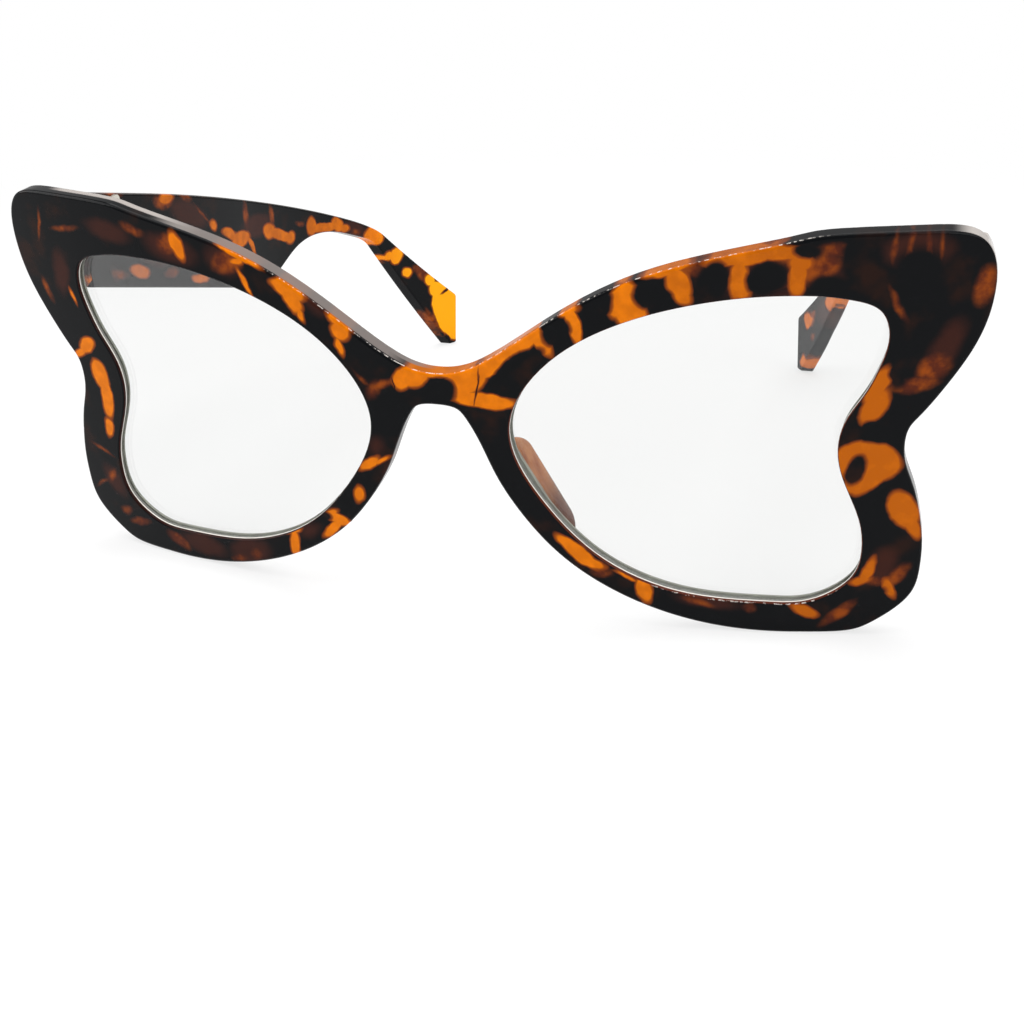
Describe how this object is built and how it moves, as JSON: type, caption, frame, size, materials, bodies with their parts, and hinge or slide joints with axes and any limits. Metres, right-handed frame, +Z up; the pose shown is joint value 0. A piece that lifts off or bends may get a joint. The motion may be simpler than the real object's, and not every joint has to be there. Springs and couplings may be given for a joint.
{
  "type": "butterfly sunglasses",
  "caption": "Plastic butterfly glasses: a wide upswept front with clear lenses and moulded nose pads, and broad side arms that fold inwards on screwed hinges.",
  "frame": {"origin": "middle of the whole part's footprint, on the floor under the lower rims and the arms' tips", "axes": "+X to the right as seen from in front, the lens fronts face -Y, the arms run towards +Y, +Z up; the front leans back by 6.2 degrees, as the open glasses stand on a table"},
  "size_m": [0.151, 0.139, 0.0636],
  "materials": {
    "front_plastic": "polished tortoiseshell: near-black brown with hand-laid amber patches",
    "arm_plastic": "polished tortoiseshell, with more amber towards the tips",
    "lens": "clear, polished, with a faint coating sheen",
    "hinge_metal": "satin nickel-silver hinge leaves",
    "screw_metal": "bright turned steel"
  },
  "bodies": {
    "front": {"front_frame": "front_plastic", "lens_right": "lens", "lens_left": "lens", "hinge_front_leaf_right": "hinge_metal", "hinge_front_leaf_left": "hinge_metal", "hinge_screw_right": "screw_metal", "hinge_screw_left": "screw_metal"},
    "right_arm": {"temple_right": "arm_plastic", "hinge_temple_leaf_right": "hinge_metal"},
    "left_arm": {"temple_left": "arm_plastic", "hinge_temple_leaf_left": "hinge_metal"}
  },
  "joints": [
    {"name": "right_arm_hinge", "type": "hinge", "parent": "front", "child": "right_arm", "pos_m": [0.06305, -0.05517, 0.05412], "axis": [0, -0.108, 0.9942], "range_deg": [0, 80]},
    {"name": "left_arm_hinge", "type": "hinge", "parent": "front", "child": "left_arm", "pos_m": [-0.06305, -0.05517, 0.05412], "axis": [0, 0.108, -0.9942], "range_deg": [0, 71]}
  ]
}
